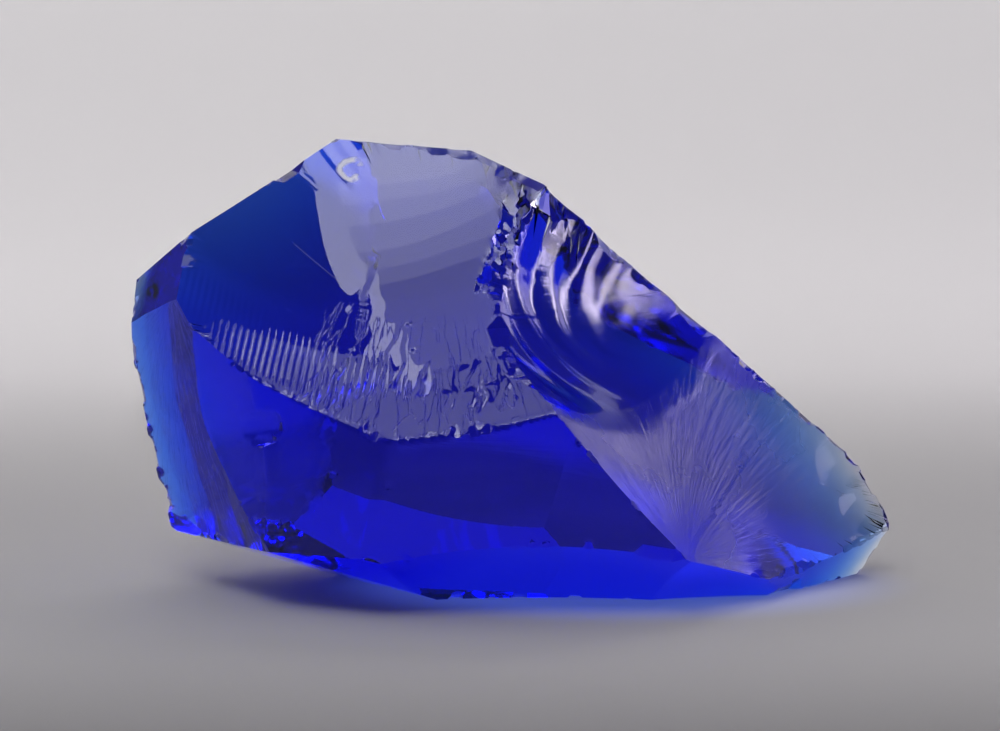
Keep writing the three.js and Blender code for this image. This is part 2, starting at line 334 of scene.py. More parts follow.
# Ranges of the fine ones: angle, lean, start and height.
FINE_RANGES = [(3, 34), (-0.9, -0.1), (16.5, 20), (0.008, 0.025)]
chance = np.random.default_rng(5)
fine_hackles = np.stack([chance.uniform(*ends, FINE_HACKLES) for ends in FINE_RANGES], axis=1)
hackles = np.concatenate([BOLD_HACKLES, fine_hackles])
BRUISE = GREAT.plan(corner(-0.217, 0.133, 0.932))[:2]
BRUISE_DEPTH, BRUISE_RADIUS, BRUISE_WIDTH = 0.05, 0.45, 0.16
LEDGE_FROM = np.array(GREAT.plan(CORNERS["ledge_left"])[:2])
LEDGE_TO = np.array(GREAT.plan(CORNERS["ledge_middle"])[:2])
FEATHER_HEIGHT, FEATHER_REACH = 0.025, 2.2
FEATHERS_ROUND = 58
FEATHER_SWAY = [(0.9, 21, 0.8), (0.5, 0, 1.9)]
FEATHERS_FROM, FEATHERS_GROW = -0.02, 0.12


def above_ledge(x, y):
    """Distances from the ledge's left end: along the ledge, and up the scar at right angles to it."""
    run = (LEDGE_TO - LEDGE_FROM) / np.linalg.norm(LEDGE_TO - LEDGE_FROM)
    dx, dy = x - LEDGE_FROM[0], y - LEDGE_FROM[1]
    return dx * run[0] + dy * run[1], dy * run[0] - dx * run[1]


CRUSHED_CHIPS = 60
CRUSHED_MIDDLE, CRUSHED_HALF = 10.1, 0.75
CRUSHED_LOW, CRUSHED_HIGH = -6.9, -0.7
SIDE_FADE, LOW_FADE, HIGH_FADE = 0.15, 0.5, 0.3
CHIP_TILT, CHIP_DEPTH = 0.28, 0.13
CHIP_SQUASH = 0.5
chance = np.random.default_rng(31)
chip_x = CRUSHED_MIDDLE + chance.uniform(-1, 1, CRUSHED_CHIPS)
chip_y = chance.uniform(CRUSHED_LOW, CRUSHED_HIGH, CRUSHED_CHIPS)
chip_tilt = chance.normal(0, CHIP_TILT, (2, CRUSHED_CHIPS))
chip_depth = chance.uniform(0, CHIP_DEPTH, CRUSHED_CHIPS)


def crushed_relief(x, y):
    """Crushed glass in a strip along the ridge: each place belongs to the nearest chip, a plate with its own depth and
    tilt."""
    x, y = np.atleast_1d(x, y)
    inside = np.clip((CRUSHED_HALF - np.abs(x - CRUSHED_MIDDLE)) / SIDE_FADE, 0, 1)
    inside = inside * np.clip((y - CRUSHED_LOW) / LOW_FADE, 0, 1) * np.clip((CRUSHED_HIGH - y) / HIGH_FADE, 0, 1)
    near = np.flatnonzero(inside)
    dx, dy = x[near, None] - chip_x, y[near, None] - chip_y
    chip = np.argmin(dx**2 + CHIP_SQUASH * dy**2, axis=1)
    row = np.arange(len(near))
    plate = chip_tilt[0, chip] * dx[row, chip] + chip_tilt[1, chip] * dy[row, chip] - chip_depth[chip]
    total = np.zeros(len(x))
    total[near] = plate * inside[near]
    return total


def great_scar_relief(face, x, y):
    """Broad ribs, hackles that end in teeth at the ledge, feathers along it, a ring-shaped bruise and the crushed
    strip."""
    distance, angle = face.around(x, y)
    total = rib_waves(
        distance, pitch=0.06 * LENGTH, height=0.0002 * LENGTH, start=0.34 * LENGTH, end=0.52 * LENGTH
    )
    for number, (degrees, lean, start, height) in enumerate(hackles):
        sway = wandering(0.0, HACKLE_SWAY, distance, number)
        sideways = (angle - np.radians(degrees + lean * (distance - start))) * distance + sway
        total = total + hackle(sideways, np.clip((distance - start) / HACKLE_GROWTH, 0, 1), height, HACKLE_WIDTH)
    _, up = above_ledge(x, y)
    feathers = np.abs(np.sin(wandering(FEATHERS_ROUND * angle, FEATHER_SWAY, angle, distance)))
    feathers = FEATHER_HEIGHT * feathers * np.clip(1 - up / FEATHER_REACH, 0, 1)
    total = total + feathers * np.clip((angle - FEATHERS_FROM) / FEATHERS_GROW, 0, 1)
    bruise = np.hypot(x - BRUISE[0], y - BRUISE[1])
    total = total - BRUISE_DEPTH * np.exp(-(((bruise - BRUISE_RADIUS) / BRUISE_WIDTH) ** 2))
    return total + crushed_relief(x, y) + unevenness(x, y, seed=1, pitch=7.0, height=0.01)


GREAT.relief = great_scar_relief

# %% Ribbed and sloping scars
RIBS_DOWN_TO, RIBS_FADE = math.radians(52), 0.16
RIB_SWAY = [(0.2, 3, 0.6), (0.07, 9, 2)]
SLOW_RIB_SWAY = [(0.3, 3, 0)]
RIB_TWIST = 0.3


def ribbed_scar_relief(face, x, y):
    """Bold ribs round the strike, finer ones between them that die away round the lower half, and a few hackles."""
    distance, angle = face.around(x, y)
    wander = wandering(distance, RIB_SWAY, angle, distance)
    upper = 1 / (1 + np.exp((angle - RIBS_DOWN_TO) / RIBS_FADE))
    total = upper * rib_waves(
        wander, pitch=0.05 * LENGTH, height=0.0026 * LENGTH, start=0.02 * LENGTH, end=0.3 * LENGTH
    )
    total = total + upper * rib_waves(wander + RIB_TWIST * angle, pitch=0.71, height=0.012, start=1.2, end=11.0)
    fan = (-48, -20, 6, 24)
    total = hackle_fan(total, distance, angle, fan, sway=0.15, rate=1.0, start=5, growth=4, height=0.03)
    return total + unevenness(x, y, seed=2, pitch=5.0, height=0.01)


def sloping_scar_relief(face, x, y):
    """Slow ribs round a strike at the lower left corner, and long low hackles that fan from it."""
    distance, angle = face.around(x, y)
    wander = wandering(distance, SLOW_RIB_SWAY, angle, distance)
    total = rib_waves(wander, pitch=0.085 * LENGTH, height=0.0004 * LENGTH, start=4.0, end=20.0)
    fan = (-172, -158, -143, -131, -118, -104)
    total = hackle_fan(total, distance, angle, fan, sway=0.2, rate=0.7, start=0, growth=9, height=0.008)
    return total + unevenness(x, y, seed=3, pitch=6.0, height=0.012)


FACE["ribbed_scar"].relief = ribbed_scar_relief
FACE["sloping_scar"].relief = sloping_scar_relief

# %% Left, front and back
FLUTE_HEIGHT, FLUTE_PITCH = 0.028, 1.9
FINE_FLUTE_HEIGHT, FINE_FLUTE_PITCH = 0.0015, 0.47
FLUTE_SWAY = [(0.4, 0.45, 0), (0.12, 1.6, 0.8)]
FLUTE_CROWDING = [(0.5, 0.8, 0)]
SWELL = [(0.02, 1.1, 0.4)]


def left_outer_relief(face, x, y):
    """Upright flutes: hollows between sharp crests that wander down the face, with finer waves on them."""
    lines = wandering(y, FLUTE_SWAY, x, y)
    flutes = FLUTE_HEIGHT * np.abs(np.sin(wandering(np.pi * lines / FLUTE_PITCH, FLUTE_CROWDING, lines, 0.0)))
    flutes = flutes + FINE_FLUTE_HEIGHT * np.sin(2 * np.pi * lines / FINE_FLUTE_PITCH)
    return wandering(flutes, SWELL, x, y)


def uneven_relief(seed, pitch, height):
    """A relief of slow unevenness alone."""
    return lambda face, x, y: unevenness(x, y, seed, pitch, height)


def back_relief(pitch, height, start, end, seed):
    """Ribs round the strike, all four sizes shares of the length, and a little unevenness."""

    def relief(face, x, y):
        distance, _ = face.around(x, y)
        ribs = rib_waves(distance, pitch * LENGTH, height * LENGTH, start * LENGTH, end * LENGTH)
        return ribs + unevenness(x, y, seed, pitch=7.0, height=0.006)

    return relief


FACE["left_outer"].relief = left_outer_relief
# Seed, pitch and height in millimetres.
UNEVEN = {
    "left_inner": (4, 6.0, 0.008),
    "front_left": (5, 8.0, 0.015),
    "front_right": (6, 9.0, 0.015),
    "undercut_front": (7, 6.0, 0.012),
    "undercut_right": (8, 5.0, 0.012),
    "tip_under": (9, 5.0, 0.01),
    "back_scar_middle": (11, 7.0, 0.008),
}
# Pitch, height, start and end of the ribs as shares of the length, and the seed.
RIBBED_BACK = {
    "back_scar_left": (0.08, 0.0004, 0.12, 0.6, 10),
    "back_scoop": (0.05, 0.0016, 0.05, 0.4, 13),
}
for name, sizes in UNEVEN.items():
    FACE[name].relief = uneven_relief(*sizes)
for name, sizes in RIBBED_BACK.items():
    FACE[name].relief = back_relief(*sizes)
print("faces with relief:", sum(face.relief is not None for face in FACES))

# %% [markdown]
# ## A grid of rays
# Seen from its heart, every point of the lump lies on one ray, so the surface is one function of two angles: how far a
# ray runs before it leaves the glass. The grid's pole points at the tip, and its lines crowd on the near upper side,
# where the ribs are finest. Each cell is sampled on a grid twice as fine.

# %% Rays
RINGS = 330
SLICES = 298
FINE = 2
POLE_GAP = 0.01
CROWD_ENDS = 1.6
CROWD_FRONT = 0.45
FRONT_UP = math.radians(-40)


def ray_grid():
    """Unit rays on rings about the line to the tip. The angle from the tip is an arctangent, so that the rings crowd
    at both ends, and the angle round the line is a turn less its own sine, so that the slices crowd in front."""
    tip = CORNERS["tip_end"] - HEART
    tip /= np.linalg.norm(tip)
    front = np.array([0.0, -1.0, 0.0])
    front -= (front @ tip) * tip
    front /= np.linalg.norm(front)
    side = np.cross(tip, front)
    along = np.linspace(1, -1, FINE * (RINGS - 1) + 1)
    polar = np.pi / 2 - (np.pi / 2 - POLE_GAP) * np.arctan(CROWD_ENDS * along) / np.arctan(CROWD_ENDS)
    turn = 2 * np.pi * np.arange(FINE * SLICES) / (FINE * SLICES)
    turn = turn - CROWD_FRONT * np.sin(turn - FRONT_UP)
    polar, turn = polar[:, None, None], turn[None, :, None]
    return np.cos(polar) * tip + np.sin(polar) * (np.cos(turn) * front + np.sin(turn) * side)


rays = ray_grid()
shape = rays.shape[:2]
rays = rays.reshape(-1, 3)
far_on = {face.name: face.reach(rays) for face in FACES}

# %% [markdown]
# ## Rolled edges
# Where one crack ran out into the next, as under the ribs and along the ledge, the glass rolls over softly. A bevel
# would need clean edge loops. Here a soft minimum takes the place of the hard one, so the bowls melt into each other.

# %% Rolled edges
# The share above which a ray belongs to one face alone.
ONE_FACE = 0.999
LEAST_SLANT = 0.1
# Faces that melt into each other, and the width of the roll in millimetres.
ROLLED = [
    (("ribbed_scar", "sloping_scar"), 0.65),
    (("great_scar", "front_left", "front_right"), 0.09),
]


def soft_minimum(far, width):
    """The soft minimum of some distances, minus the width times the logarithm of the sum of exp(-distance / width), and
    each distance's share of that sum."""
    least = far.min(axis=0)
    shares = np.exp((least - far) / width)
    total = shares.sum(axis=0)
    return least - width * np.log(total), shares / total


rolls = []
for names, width in ROLLED:
    far = np.stack([far_on[name] for name in names])
    rolled, shares = soft_minimum(far, width)
    rolls.append((names, far, shares))
    for name, distance in zip(names, far):
        far_on[name] = np.where(distance == far.min(axis=0), rolled, distance)
far = np.stack([far_on[face.name] for face in FACES])
owner = far.argmin(axis=0)
reach = far.min(axis=0)
print("glass from", reach.min().round(2), "to", reach.max().round(2), "mm from the heart")

# %% Directions out of the glass
points = HEART + rays * reach[:, None]
outward = np.zeros_like(points)
for number, face in enumerate(FACES):
    mine = owner == number
    outward[mine] = face.outward(points[mine])
for names, far, shares in rolls:
    mine = np.isin(owner, [NUMBER[name] for name in names]) & (shares.max(axis=0) < ONE_FACE)
    total = 0
    for name, distance, share in zip(names, far, shares):
        out = FACE[name].outward(HEART + rays[mine] * distance[mine][:, None])
        along = np.maximum(np.sum(out * rays[mine], axis=1), LEAST_SLANT)
        total = total + (share[mine] / along)[:, None] * out
    outward[mine] = total / np.linalg.norm(total, axis=1, keepdims=True)
print("rays in rolled edges:", sum((shares.max(axis=0) < ONE_FACE).sum() for _, _, shares in rolls))

# %% [markdown]
# ## Nicks
# Handling has knocked small flakes off the edges. Most leave an angular chip, a flat floor between two slanting ends,
# and some a shallow dish, which is a piece of a ball. Where a ray meets a chip or a dish before it meets the face, it
# stops there. The nicks of the part's source are broken up into a few chips each. Many smaller ones are strewn along
# the edges by chance, from a fixed seed.

# %% Edges between faces
index = np.arange(len(rays)).reshape(shape)
first = np.concatenate([index[:-1].ravel(), index.ravel()])
second = np.concatenate([index[1:].ravel(), np.roll(index, -1, axis=1).ravel()])
apart = owner[first] != owner[second]
first, second = first[apart], second[apart]
edge_points = (points[first] + points[second]) / 2
edge_out = outward[first] + outward[second]
edge_out /= np.linalg.norm(edge_out, axis=1, keepdims=True)
edge_bend = np.sum(outward[first] * outward[second], axis=1)
edge_run = np.cross(outward[first], outward[second])
edge_run /= np.maximum(np.linalg.norm(edge_run, axis=1, keepdims=True), TINY)

# %% Nicks of the part
# Each nick: its place, and the radius and depth of a dish of its size, all as shares.
NICKS = [
    # Top rim: a notch, then two flakes towards the right peak.
    (-0.067, 0.134, 0.958, 0.05, 0.014),
    (-0.021, 0.104, 0.94, 0.09, 0.011),
    (0.02, 0.055, 0.898, 0.06, 0.012),
    # Right edge, from the peak down to the tip.
    (0.108, 0.105, 0.745, 0.05, 0.009),
    (0.162, 0.12, 0.664, 0.045, 0.01),
    (0.219, 0.112, 0.588, 0.05, 0.011),
    (0.338, 0.125, 0.418, 0.06, 0.006),
    (0.43, 0.142, 0.288, 0.11, 0.009),
    (0.475, 0.142, 0.215, 0.07, 0.01),
    (0.345, -0.14, 0.005, 0.07, 0.014),
    # Left edge, from the shoulder down to the heel.
    (-0.487, -0.03, 0.46, 0.08, 0.009),
    (-0.47, -0.03, 0.312, 0.07, 0.009),
    (-0.45, -0.02, 0.196, 0.08, 0.01),
    # Ledge under the great scar.
    (-0.353, -0.315, 0.541, 0.05, 0.006),
    (-0.174, -0.463, 0.417, 0.03, 0.005),
    (-0.048, -0.49, 0.402, 0.035, 0.006),
    # A star chip on the front ridge.
    (-0.318, -0.349, 0.41, 0.03, 0.009),
]
# A nick's first chip, as shares of the dish's width and depth, and the ranges of the smaller chips round it.
CHIP_WIDTH_SHARE, CHIP_DEPTH_SHARE = 0.6, 0.4
CHIPS_IN_A_NICK = 4
CHIP_SPREAD = 0.5
SMALL_WIDTHS, SMALL_DEPTHS = (0.2, 0.4), (0.2, 0.6)
# Ranges for an angular chip: its floor's lean between two faces, its ends' slant in degrees, and their places.
FLOOR_LEANS, END_SLANTS, END_PLACES = (0.35, 0.65), (15, 55), (0.4, 0.9)
CUT_REACH = 2
GRAZING = 0.01
chance = np.random.default_rng(20)
cutters = []


def into_ball(near, centre, radius):
    """Where some rays enter a ball, and the way out of the glass, which is towards its middle."""
    middle = near @ (centre - HEART)
    inside = middle**2 - np.sum((centre - HEART) ** 2) + radius**2
    enter = np.where(inside > 0, middle - np.sqrt(np.maximum(inside, 0)), FAR)
    return enter, (centre - HEART - near * enter[:, None]) / radius


def into_notch(near, spots, ways):
    """Where some rays have passed all of three planes, and the last plane's way out of the glass."""
    slant = near @ ways.T
    enter = np.where(slant > GRAZING, np.sum((spots - HEART) * ways, axis=1) / np.maximum(slant, GRAZING), FAR)
    return enter.max(axis=1), ways[enter.argmax(axis=1)]


def dish(spot, out, radius, depth, on, tilt):
    """A shallow dish: a ball whose lowest point lies at a depth under the spot, the way out tilted by chance."""
    out = out + chance.normal(0, tilt, 3)
    out = out / np.linalg.norm(out)
    cutters.append((into_ball, (spot + out * (radius - depth), radius), spot, CUT_REACH * radius, on))


def notch(number, half, depth):
    """An angular chip on an edge: a flat floor that leans to one of its faces, and two slanting ends."""
    share = chance.uniform(*FLOOR_LEANS)
    out = share * outward[first[number]] + (1 - share) * outward[second[number]]
    out = out / np.linalg.norm(out)
    spot, along = edge_points[number], edge_run[number]
    floor = spot - out * depth
    slants = np.radians(chance.uniform(*END_SLANTS, 2))
    ends = half * chance.uniform(*END_PLACES, 2)
    left = out * np.cos(slants[0]) - along * np.sin(slants[0])
    right = out * np.cos(slants[1]) + along * np.sin(slants[1])
    spots = np.array([floor, floor + along * ends[0], floor - along * ends[1]])
    ways = np.array([out, left, right])
    cutters.append((into_notch, (spots, ways), spot, CUT_REACH * half, owner[first[number]]))


for *shares, radius, depth in NICKS:
    nearest = np.argmin(np.linalg.norm(edge_points - corner(*shares), axis=1))
    width = math.sqrt(2 * radius * depth) * LENGTH
    notch(nearest, CHIP_WIDTH_SHARE * width, CHIP_DEPTH_SHARE * depth * LENGTH)
    for _ in range(CHIPS_IN_A_NICK):
        place = edge_points[nearest] + chance.normal(0, CHIP_SPREAD * width, 3)
        close = np.argmin(np.linalg.norm(edge_points - place, axis=1))
        notch(close, chance.uniform(*SMALL_WIDTHS) * width, chance.uniform(*SMALL_DEPTHS) * depth * LENGTH)

# %% Small nicks by chance
EDGE_NICKS = 420
SHARP_BELOW = 0.8
# The upper left rim, left of and above these places in millimetres, is nearly whole.
WHOLE_LEFT_OF, WHOLE_ABOVE, WHOLE_WEIGHT = -9, 12, 0.2
# Sizes of a nick by chance: the logarithm of its depth, a chip's half length in depths, and a dish's radius.
DEPTH_LOG, DEPTH_LOG_SPREAD = -2.7, 0.5
CHIP_LENGTHS = (2, 6)
NICKS_TO_A_DISH = 3
DISH_RADII, DISH_DEPTH_SHARE, DISH_TILT = (0.3, 0.9), 0.6, 0.25
EDGE_WEIGHT = {"rim": 1.4, "great": 0.8, "shoulder": 0.5, "tip": 1.4, "front": 0.7, "undercut": 0.5, "rest": 0.2}


def weight_of(face):
    """How readily a face's edges chip, by the first word of its name: 1 if that isn't listed."""
    return EDGE_WEIGHT.get(face.name.split("_")[0], 1.0)


weights = np.array([weight_of(face) for face in FACES])
weights = weights[owner[first]] * weights[owner[second]] * (edge_bend < SHARP_BELOW)
weights[(edge_points[:, 0] < WHOLE_LEFT_OF) & (edge_points[:, 2] > WHOLE_ABOVE)] *= WHOLE_WEIGHT
for turn, number in enumerate(chance.choice(len(first), EDGE_NICKS, replace=False, p=weights / weights.sum())):
    depth = np.exp(chance.normal(DEPTH_LOG, DEPTH_LOG_SPREAD))
    if turn % NICKS_TO_A_DISH:
        notch(number, depth * chance.uniform(*CHIP_LENGTHS), depth)
    else:
        radius = chance.uniform(*DISH_RADII)
        dish(edge_points[number], edge_out[number], radius, DISH_DEPTH_SHARE * depth, owner[first[number]], DISH_TILT)

# %% Pits and flakes
# Pits on the great scar and flakes on the tip: face, place on it, radius and depth in millimetres.
PITS = [
    ("great_scar", 6.95, -9.24, 0.3, 0.04),
    ("great_scar", 7.69, -10.68, 0.3, 0.04),
    ("sloping_scar", 14.6, 13.1, 10.0, 0.1),
    ("sloping_scar", 16.2, 12.0, 9.0, 0.1),
]
for name, x, y, radius, depth in PITS:
    spot = FACE[name].point(x, y)
    dish(spot, FACE[name].outward(spot[None])[0], radius, depth, NUMBER[name], tilt=0.03)
print("cutters in all:", len(cutters))

# %% Cutting the nicks
NEAR_A_NICK = 0.95
for number, (meet, sizes, spot, limit, _) in enumerate(cutters):
    near = np.flatnonzero(rays @ ((spot - HEART) / np.linalg.norm(spot - HEART)) > NEAR_A_NICK)
    enter, out = meet(rays[near], *sizes)
    away = np.linalg.norm(HEART + rays[near] * reach[near, None] - spot, axis=1)
    cut = (enter < reach[near]) & (enter > 0) & (away < limit)
    reach[near[cut]] = enter[cut]
    owner[near[cut]] = len(FACES) + number
    outward[near[cut]] = out[cut]
points = HEART + rays * reach[:, None]
print("share of rays that end in a nick:", (owner >= len(FACES)).mean().round(4))

# %% [markdown]
# ## One closed surface with crisp edges
# Joining the grid's own points would saw every edge into teeth. So each cell of the grid gets one vertex, at the point
# that lies best in all the planes that its samples touch: on an edge that is the edge itself, and on a corner the
# corner. Each point of the grid becomes a face between the four cells round it, and one vertex closes each pole.


# %% One vertex in each cell
def best_points(spots, normals, pull=0.02, least=1e-9):
    """The point of each group that lies closest to all of its planes, by least squares, with a small pull towards the
    group's mean so that a flat group has one answer."""
    mean = spots.mean(axis=1)
    away = np.einsum("gki,gki->gk", normals, spots - mean[:, None])
    square = np.einsum("gki,gkj->gij", normals, normals) + pull * np.eye(3)
    right = np.einsum("gki,gk->gi", normals, away)
    step = np.linalg.solve(square, right[..., None])[..., 0]
    spread = np.linalg.norm(spots - mean[:, None], axis=2).max(axis=1)
    length = np.linalg.norm(step, axis=1)
    return mean + step * np.minimum(1, spread / np.maximum(length, least))[:, None]


def cell_samples(values):
    """The fine samples of each cell as one group: at its corners, edges and middle."""
    grid = values.reshape(shape + (3,))
    grid = np.concatenate([grid, grid[:, :1]], axis=1)
    parts = []
    for i in range(FINE + 1):
        for j in range(FINE + 1):
            last_row, last_column = shape[0] - FINE + i, shape[1] - FINE + j + 1
            parts.append(grid[i:last_row:FINE, j:last_column:FINE])
    return np.stack(parts, axis=2).reshape(-1, (FINE + 1) ** 2, 3)


cells = best_points(cell_samples(points), cell_samples(outward))
caps = best_points(
    points.reshape(shape + (3,))[[0, -1]],
    outward.reshape(shape + (3,))[[0, -1]],
)
vertices = np.concatenate([cells, caps])

# %% Faces round the grid's points
row, column = np.mgrid[1 : RINGS - 1, 0:SLICES]
before = (column - 1) % SLICES
quads = np.stack(
    [(row - 1) * SLICES + before, (row - 1) * SLICES + column, row * SLICES + column, row * SLICES + before], axis=-1
).reshape(-1, 4)
turn = np.arange(SLICES)
tip_cap = np.stack([turn, (turn - 1) % SLICES, np.full(SLICES, len(cells))], axis=-1)
last = (RINGS - 2) * SLICES
shoulder_cap = np.stack([last + (turn - 1) % SLICES, last + turn, np.full(SLICES, len(cells) + 1)], axis=-1)
a, b, c = (vertices[tip_cap[:, k]] for k in range(3))
if np.sum(np.cross(b - a, c - a) @ (CORNERS["tip_end"] - HEART)) < 0:
    tip_cap, shoulder_cap = tip_cap[:, ::-1], shoulder_cap[:, ::-1]
a, b, c = (vertices[quads[:, k]] for k in range(3))
if np.sum(np.cross(b - a, c - a) * (a - HEART)) < 0:
    quads = quads[:, ::-1]
mesh = bpy.data.meshes.new("glass_lump")
mesh.from_pydata(vertices * MM, [], quads.tolist() + tip_cap.tolist() + shoulder_cap.tolist())
mesh.validate()
lump = bpy.data.objects.new("glass_lump", mesh)
bpy.context.scene.collection.objects.link(lump)
CREASE = math.radians(24)
mesh.shade_smooth()
mesh.set_sharp_from_angle(angle=CREASE)
print("triangles:", 2 * len(quads) + 2 * SLICES)

# %% [markdown]
# ## Where the finish follows the crack
# Fine hairs and haze follow the crack's path, out from the strike and round it. Each face therefore carries a map of
# the way round its strike and the distance from it. A second map holds the haze: most on the sloping scar, and next to
# none on the great scar. More maps say where the hair lines, ripples, bruise and scratch are, all finer than the grid.

# %% Crack map and haze
grid_owner = owner.reshape(shape)[::FINE, ::FINE]
host = np.array(list(range(len(FACES))) + [cutter[-1] for cutter in cutters])
face_hosts = host[np.concatenate([grid_owner[1:-1].ravel(), grid_owner[0], grid_owner[-1]])]
loop_hosts = np.concatenate([np.repeat(face_hosts[: len(quads)], 4), np.repeat(face_hosts[len(quads) :], 3)])
loop_vertices = np.concatenate([quads.ravel(), tip_cap.ravel(), shoulder_cap.ravel()])
HAZE = {"sloping_scar": 0.9, "ribbed_scar": 0.2, "great_scar": 0.004, "left_outer": 0.2, "left_inner": 0.08}
HAZE_ELSEWHERE = 0.05
HAZE_FULL, HAZE_NONE = 9.5, 15.0
ROUND_SCALE = 10.0


def fade(value, full, none):
    """1 at and before full, 0 at and after none, and a straight ramp between them."""
    return np.clip((none - value) / (none - full), 0, 1)


crack = np.zeros((len(loop_vertices), 2))
haze = np.zeros(len(loop_vertices))
for number, face in enumerate(FACES):
    mine = loop_hosts == number
    x, y, _ = face.plan(vertices[loop_vertices[mine]])
    distance, angle = face.around(x, y)
    crack[mine] = np.stack([angle * ROUND_SCALE, distance], axis=1)
    haze[mine] = HAZE.get(face.name, HAZE_ELSEWHERE)
    if face.name == "sloping_scar":
        haze[mine] *= fade(x, HAZE_FULL, HAZE_NONE)
mesh.uv_layers.new(name="crack").data.foreach_set("uv", crack.astype(np.float32).ravel())
mesh.attributes.new("haze", "FLOAT", "CORNER").data.foreach_set("value", haze.astype(np.float32))

# %% Hair lines, ripples, bruise and scratch
# The scratch runs between two places on the great scar.
SCRATCH_FROM, SCRATCH_TO = np.array([-0.34, -6.24]), np.array([3.42, -8.04])
ELSEWHERE = 9.0
# The way across the ripples on the great scar, and the strength of the lines on two other faces.
RIPPLE_WAY = (0.984, 0.18)
LINES_ON_LEFT, LINES_IN_HAZE = 0.1, 0.3
lines = np.zeros(len(loop_vertices))
ripple = np.zeros((len(loop_vertices), 2))
bruise = np.full((len(loop_vertices), 2), ELSEWHERE)
scratch = np.full((len(loop_vertices), 2), ELSEWHERE)
mine = loop_hosts == NUMBER["great_scar"]
x, y, _ = GREAT.plan(vertices[loop_vertices[mine]])
distance, angle = GREAT.around(x, y)
along, up = above_ledge(x, y)
lines[mine] = fade(distance, full=20, none=14) * fade(angle, full=0.08, none=-0.02)
band = fade(-up, full=-0.5, none=0) * fade(up, full=2.0, none=4.2) * fade(along, full=8, none=10)
ripple[mine] = np.stack([RIPPLE_WAY[0] * x + RIPPLE_WAY[1] * y, band], axis=1)
bruise[mine] = np.stack([x - BRUISE[0], y - BRUISE[1]], axis=1)
run = (SCRATCH_TO - SCRATCH_FROM) / np.linalg.norm(SCRATCH_TO - SCRATCH_FROM)
dx, dy = x - SCRATCH_FROM[0], y - SCRATCH_FROM[1]
scratch[mine] = np.stack([dx * run[0] + dy * run[1], dy * run[0] - dx * run[1]], axis=1)
lines[loop_hosts == NUMBER["left_outer"]] = LINES_ON_LEFT
mine = loop_hosts == NUMBER["sloping_scar"]
lines[mine] = LINES_IN_HAZE * haze[mine]
mesh.attributes.new("lines", "FLOAT", "CORNER").data.foreach_set("value", lines.astype(np.float32))
for name, values in (("ripple", ripple), ("bruise", bruise), ("scratch", scratch)):
    mesh.uv_layers.new(name=name).data.foreach_set("uv", values.astype(np.float32).ravel())
print("maps:", [layer.name for layer in mesh.uv_layers])

# %% [markdown]
# ## Shader maths as expressions
# A material is a net of nodes. A small class wraps an output socket, so that a sum or product of wires is written as
# plain Python and adds its Math nodes. A second class makes every other kind of node.


# %% Wires
class Wire:
    """An output socket in a material. Expressions on wires and numbers add Math nodes."""

    def __init__(self, paint, socket):
        self.paint = paint
        self.socket = socket

    def math(self, operation, other=0.0):
        return self.paint.node("Math", {"operation": operation}, {0: self, 1: other})

    __add__ = partialmethod(math, "ADD")
    __sub__ = partialmethod(math, "SUBTRACT")
    __mul__ = partialmethod(math, "MULTIPLY")
    __pow__ = partialmethod(math, "POWER")
    __abs__ = partialmethod(math, "ABSOLUTE")


NODE = "ShaderNode"


class Paint:
    """Makes the nodes of one material's tree."""

    def __init__(self, tree):
        self.tree = tree

    def socket_of(self, made, name):
        """The input with this name or number that is in use: a Mix node has a set for each kind of data."""
        if isinstance(name, int):
            return made.inputs[name]
        return next(socket for socket in made.inputs if socket.name == name and socket.enabled)

    def node(self, kind, settings=None, sockets=None, output=0):
        """A node of a kind: its settings first, then the value or wire of each named or numbered socket."""
        made = self.tree.nodes.new(NODE + kind)
        for name, value in (settings or {}).items():
            setattr(made, name, value)
        for name, value in (sockets or {}).items():
            if isinstance(value, Wire):
                self.tree.links.new(value.socket, self.socket_of(made, name))
            else:
                self.socket_of(made, name).default_value = value
        return Wire(self, made.outputs[output]) if made.outputs else None

    def between(self, value, low, high):
        """A smooth step of a wire: 0 at low and 1 at high."""
        sockets = {"Value": value, "From Min": low, "From Max": high}
        return self.node("MapRange", {"interpolation_type": "SMOOTHSTEP"}, sockets)

    def blend(self, factor, first, second):
        """One tone turning into another as the factor goes from 0 to 1."""
        sockets = {"Factor": factor, "A": first, "B": second}
        return self.node("Mix", {"data_type": "RGBA"}, sockets, output=2)

    def noise(self, place, scale, detail, dimensions="3D"):
        """Cloudy noise, in space or on a flat map."""
        sockets = {"Vector": place, "Scale": scale, "Detail": detail}
        return self.node("TexNoise", {"noise_dimensions": dimensions}, sockets)

    def streaks(self, flat_map, scale, detail):
        """Noise on a flat map that is scaled more one way than the other."""
        path = self.node("Mapping", None, {"Vector": flat_map, "Scale": scale})
        return self.noise(path, 1.0, detail, "2D")

    def face_map(self, name):
        """The two numbers of one of the lump's maps."""
        both = self.node("UVMap", {"uv_map": name})
        return [self.node("SeparateXYZ", None, {"Vector": both}, output=axis) for axis in ("X", "Y")]


def new_material(name):
    """An empty material with nodes, and the Paint that fills it."""
    material = bpy.data.materials.new(name)
    material.use_nodes = True
    material.node_tree.nodes.clear()
    return material, Paint(material.node_tree)


# %% [markdown]
# ## Cobalt glass
# The glass is clear, and its colour is absorption: red dies within a few millimetres, green within about ten, and blue
# goes on. Thin edges are therefore pale blue and thick places deep violet-blue. A painted blue would look the same
# everywhere. The surface is bright, with hairs and a breath of haze along the crack's path.

